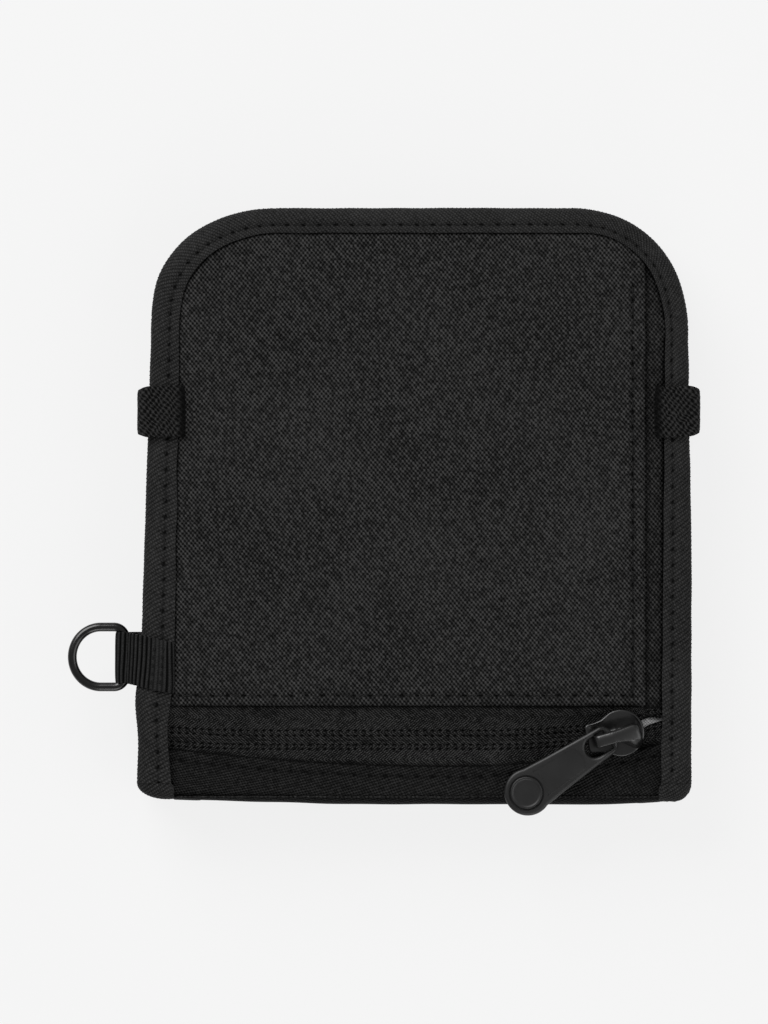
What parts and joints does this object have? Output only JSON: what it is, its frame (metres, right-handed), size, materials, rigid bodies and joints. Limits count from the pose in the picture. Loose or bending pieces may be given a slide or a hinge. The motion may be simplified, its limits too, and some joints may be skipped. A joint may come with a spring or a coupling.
{
  "type": "zippered folding pouch",
  "caption": "Small folding nylon pouch with bound edges, a slip pocket, a zipped coin pocket with slider and puller, an elastic closing band and a D-ring on a webbing loop.",
  "frame": {"origin": "on the flat outer face of the back panel, midway between the fold and the open end", "axes": "+Z out of the zipped face, +Y from the fold to the open end, +X to the right of the zipped face"},
  "size_m": [0.1201, 0.1154, 0.0188],
  "materials": {
    "nylon": "coarse woven black nylon",
    "binding_tape": "twill binding tape",
    "zipper_tape": "fine woven zipper tape",
    "elastic": "knitted elastic",
    "webbing": "ribbed grosgrain webbing",
    "grey_lining": "light grey pocket lining",
    "coil_plastic": "nylon coil",
    "stiffener_sheet": "plastic stiffener sheet",
    "black_metal": "black enamelled zinc, satin",
    "ring_metal": "black nickel wire"
  },
  "bodies": {
    "back_half": {"back_panel": "nylon", "back_stiffener": "stiffener_sheet", "back_lining": "nylon", "card_pocket_upper": "nylon", "card_pocket_lower": "nylon", "binding_back": "binding_tape"},
    "spine": {"spine_panel": "nylon", "spine_lining": "nylon", "spine_binding_left": "binding_tape", "spine_binding_right": "binding_tape"},
    "front_half": {"front_lining": "nylon", "coin_pocket_lining": "grey_lining", "front_base_panel": "nylon", "front_pocket_panel": "nylon", "zipper_tape_upper": "zipper_tape", "zipper_tape_lower": "zipper_tape", "zipper_coil_upper": "coil_plastic", "zipper_coil_lower": "coil_plastic", "bottom_strip": "nylon", "binding_front": "binding_tape", "elastic_band": "elastic", "ring_loop": "webbing"},
    "slider": {"slider_body": "black_metal", "slider_crown": "black_metal"},
    "puller": {"puller": "black_metal"},
    "d_ring": {"d_ring": "ring_metal"}
  },
  "joints": [
    {"name": "fold_back", "type": "hinge", "parent": "back_half", "child": "spine", "pos_m": [0, -0.0558, 0.001], "axis": [1, 0, 0], "range_deg": [0, 90]},
    {"name": "fold_front", "type": "hinge", "parent": "spine", "child": "front_half", "pos_m": [0, -0.0558, 0.0142], "axis": [1, 0, 0], "range_deg": [0, 90], "deforming": ["elastic_band"]},
    {"name": "slider_slide", "type": "slide", "parent": "front_half", "child": "slider", "axis": [-0.9998, -0.0197, 0], "range_m": [0, 0.076], "deforming": ["zipper_tape_upper", "zipper_tape_lower", "zipper_coil_upper", "zipper_coil_lower"]},
    {"name": "puller_flip", "type": "hinge", "parent": "slider", "child": "puller", "pos_m": [0.03677, -0.04385, 0.0166], "axis": [-0.5519, 0.8339, 0], "range_deg": [0, 120]},
    {"name": "ring_swing", "type": "hinge", "parent": "front_half", "child": "d_ring", "pos_m": [-0.0553, -0.0287, 0.01123], "axis": [0, 1, 0], "range_deg": [-90, 105]}
  ],
  "couplings": [
    {"joint": "fold_front", "follows": "fold_back", "ratio": 1}
  ]
}
